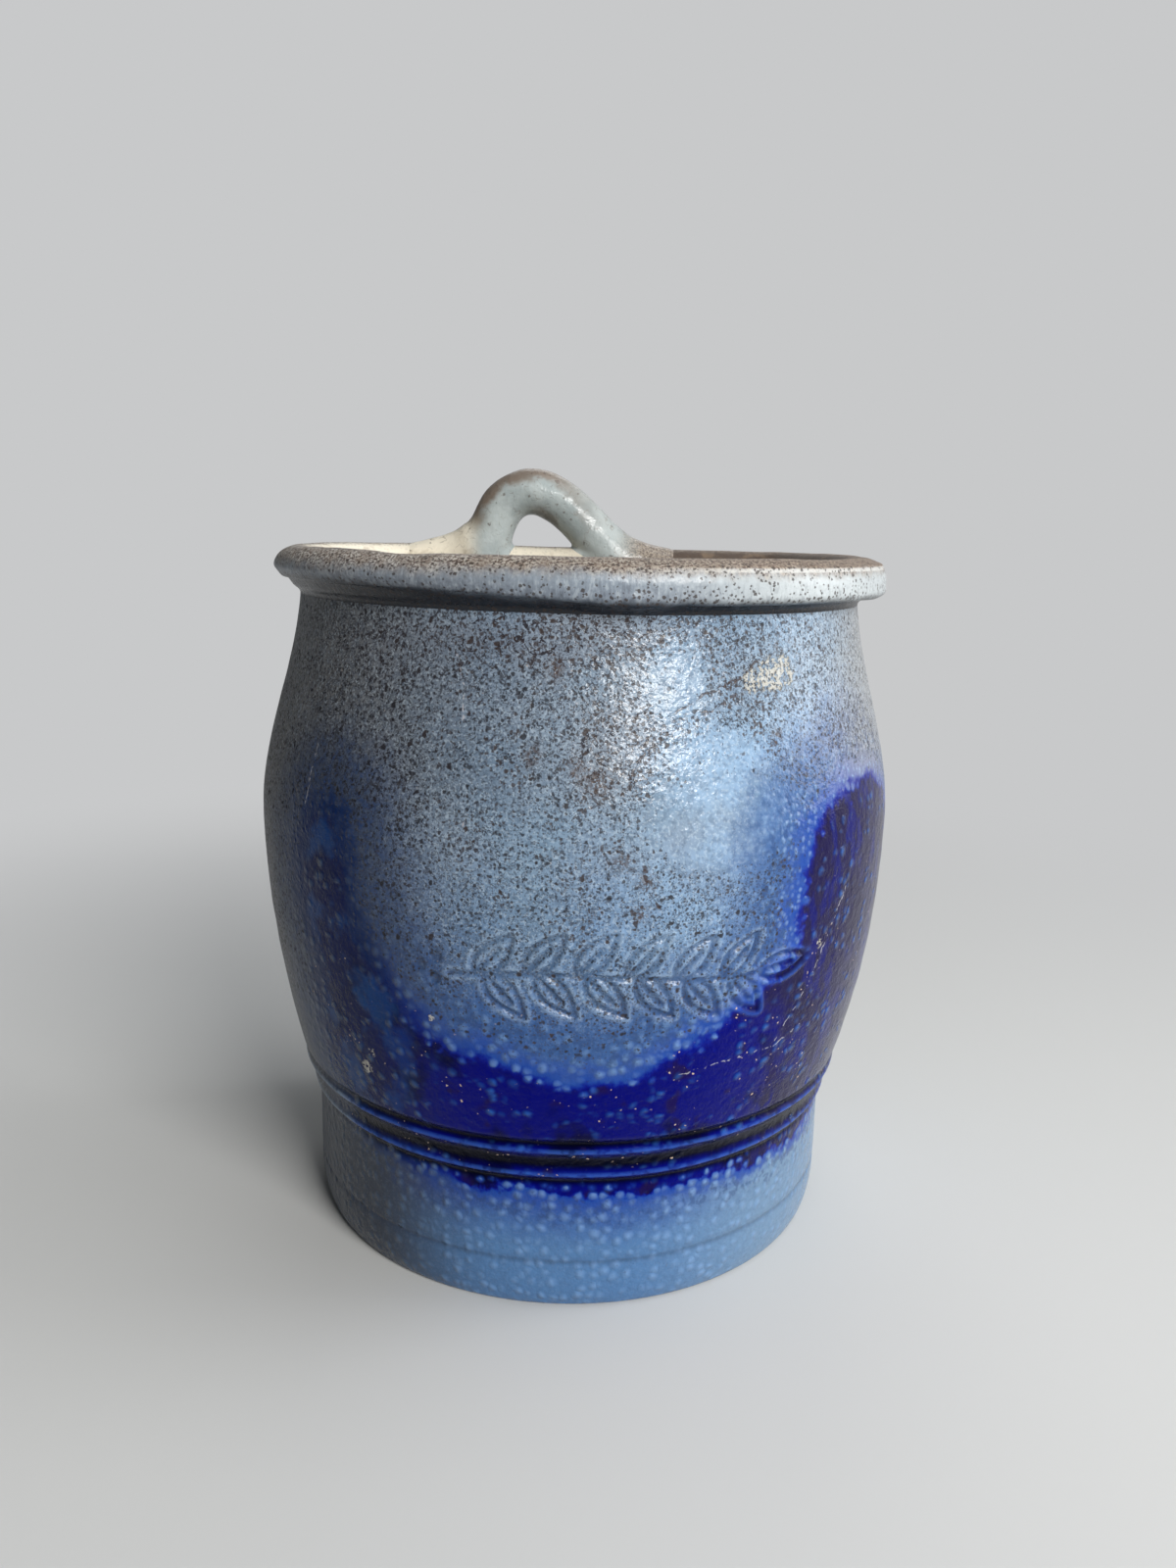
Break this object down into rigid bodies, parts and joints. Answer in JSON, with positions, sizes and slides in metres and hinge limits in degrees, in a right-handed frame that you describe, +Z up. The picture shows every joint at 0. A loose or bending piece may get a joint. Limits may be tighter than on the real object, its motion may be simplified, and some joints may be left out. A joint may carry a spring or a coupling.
{
  "type": "salt pot",
  "caption": "Wall-hanging stoneware salt pot with a barrel-shaped body, a flat back, a rolled rim, an open mouth and a clay hanging loop.",
  "frame": {"origin": "on the axis on which the barrel was thrown, in the face of the foot", "axes": "+Z up along the thrown axis, +Y towards the wall that the flat back hangs against, the round front faces -Y, +X to the right seen from the front"},
  "size_m": [0.1584, 0.1272, 0.1893],
  "materials": {
    "body_glaze": "glossy grey-blue salt glaze with an orange-peel skin, brown flecks and a poured cobalt swag",
    "back_glaze": "thinner grey-blue salt glaze over bare grey clay, with brown flecks",
    "foot_glaze": "pale grey-blue pitted salt glaze, with an unglazed buff underside",
    "rim_glaze": "pale blue-grey salt glaze, worn brown and dusty along the crest",
    "loop_glaze": "grey-green salt glaze with a brown worn top",
    "root_clay": "thin cream glaze over smeared clay"
  },
  "bodies": {
    "root": {"floor_slab": "foot_glaze", "barrel_wall": "body_glaze", "flat_back": "back_glaze", "rolled_rim": "rim_glaze", "hanging_loop": "loop_glaze", "loop_root_left": "root_clay", "loop_root_right": "root_clay"}
  },
  "joints": []
}
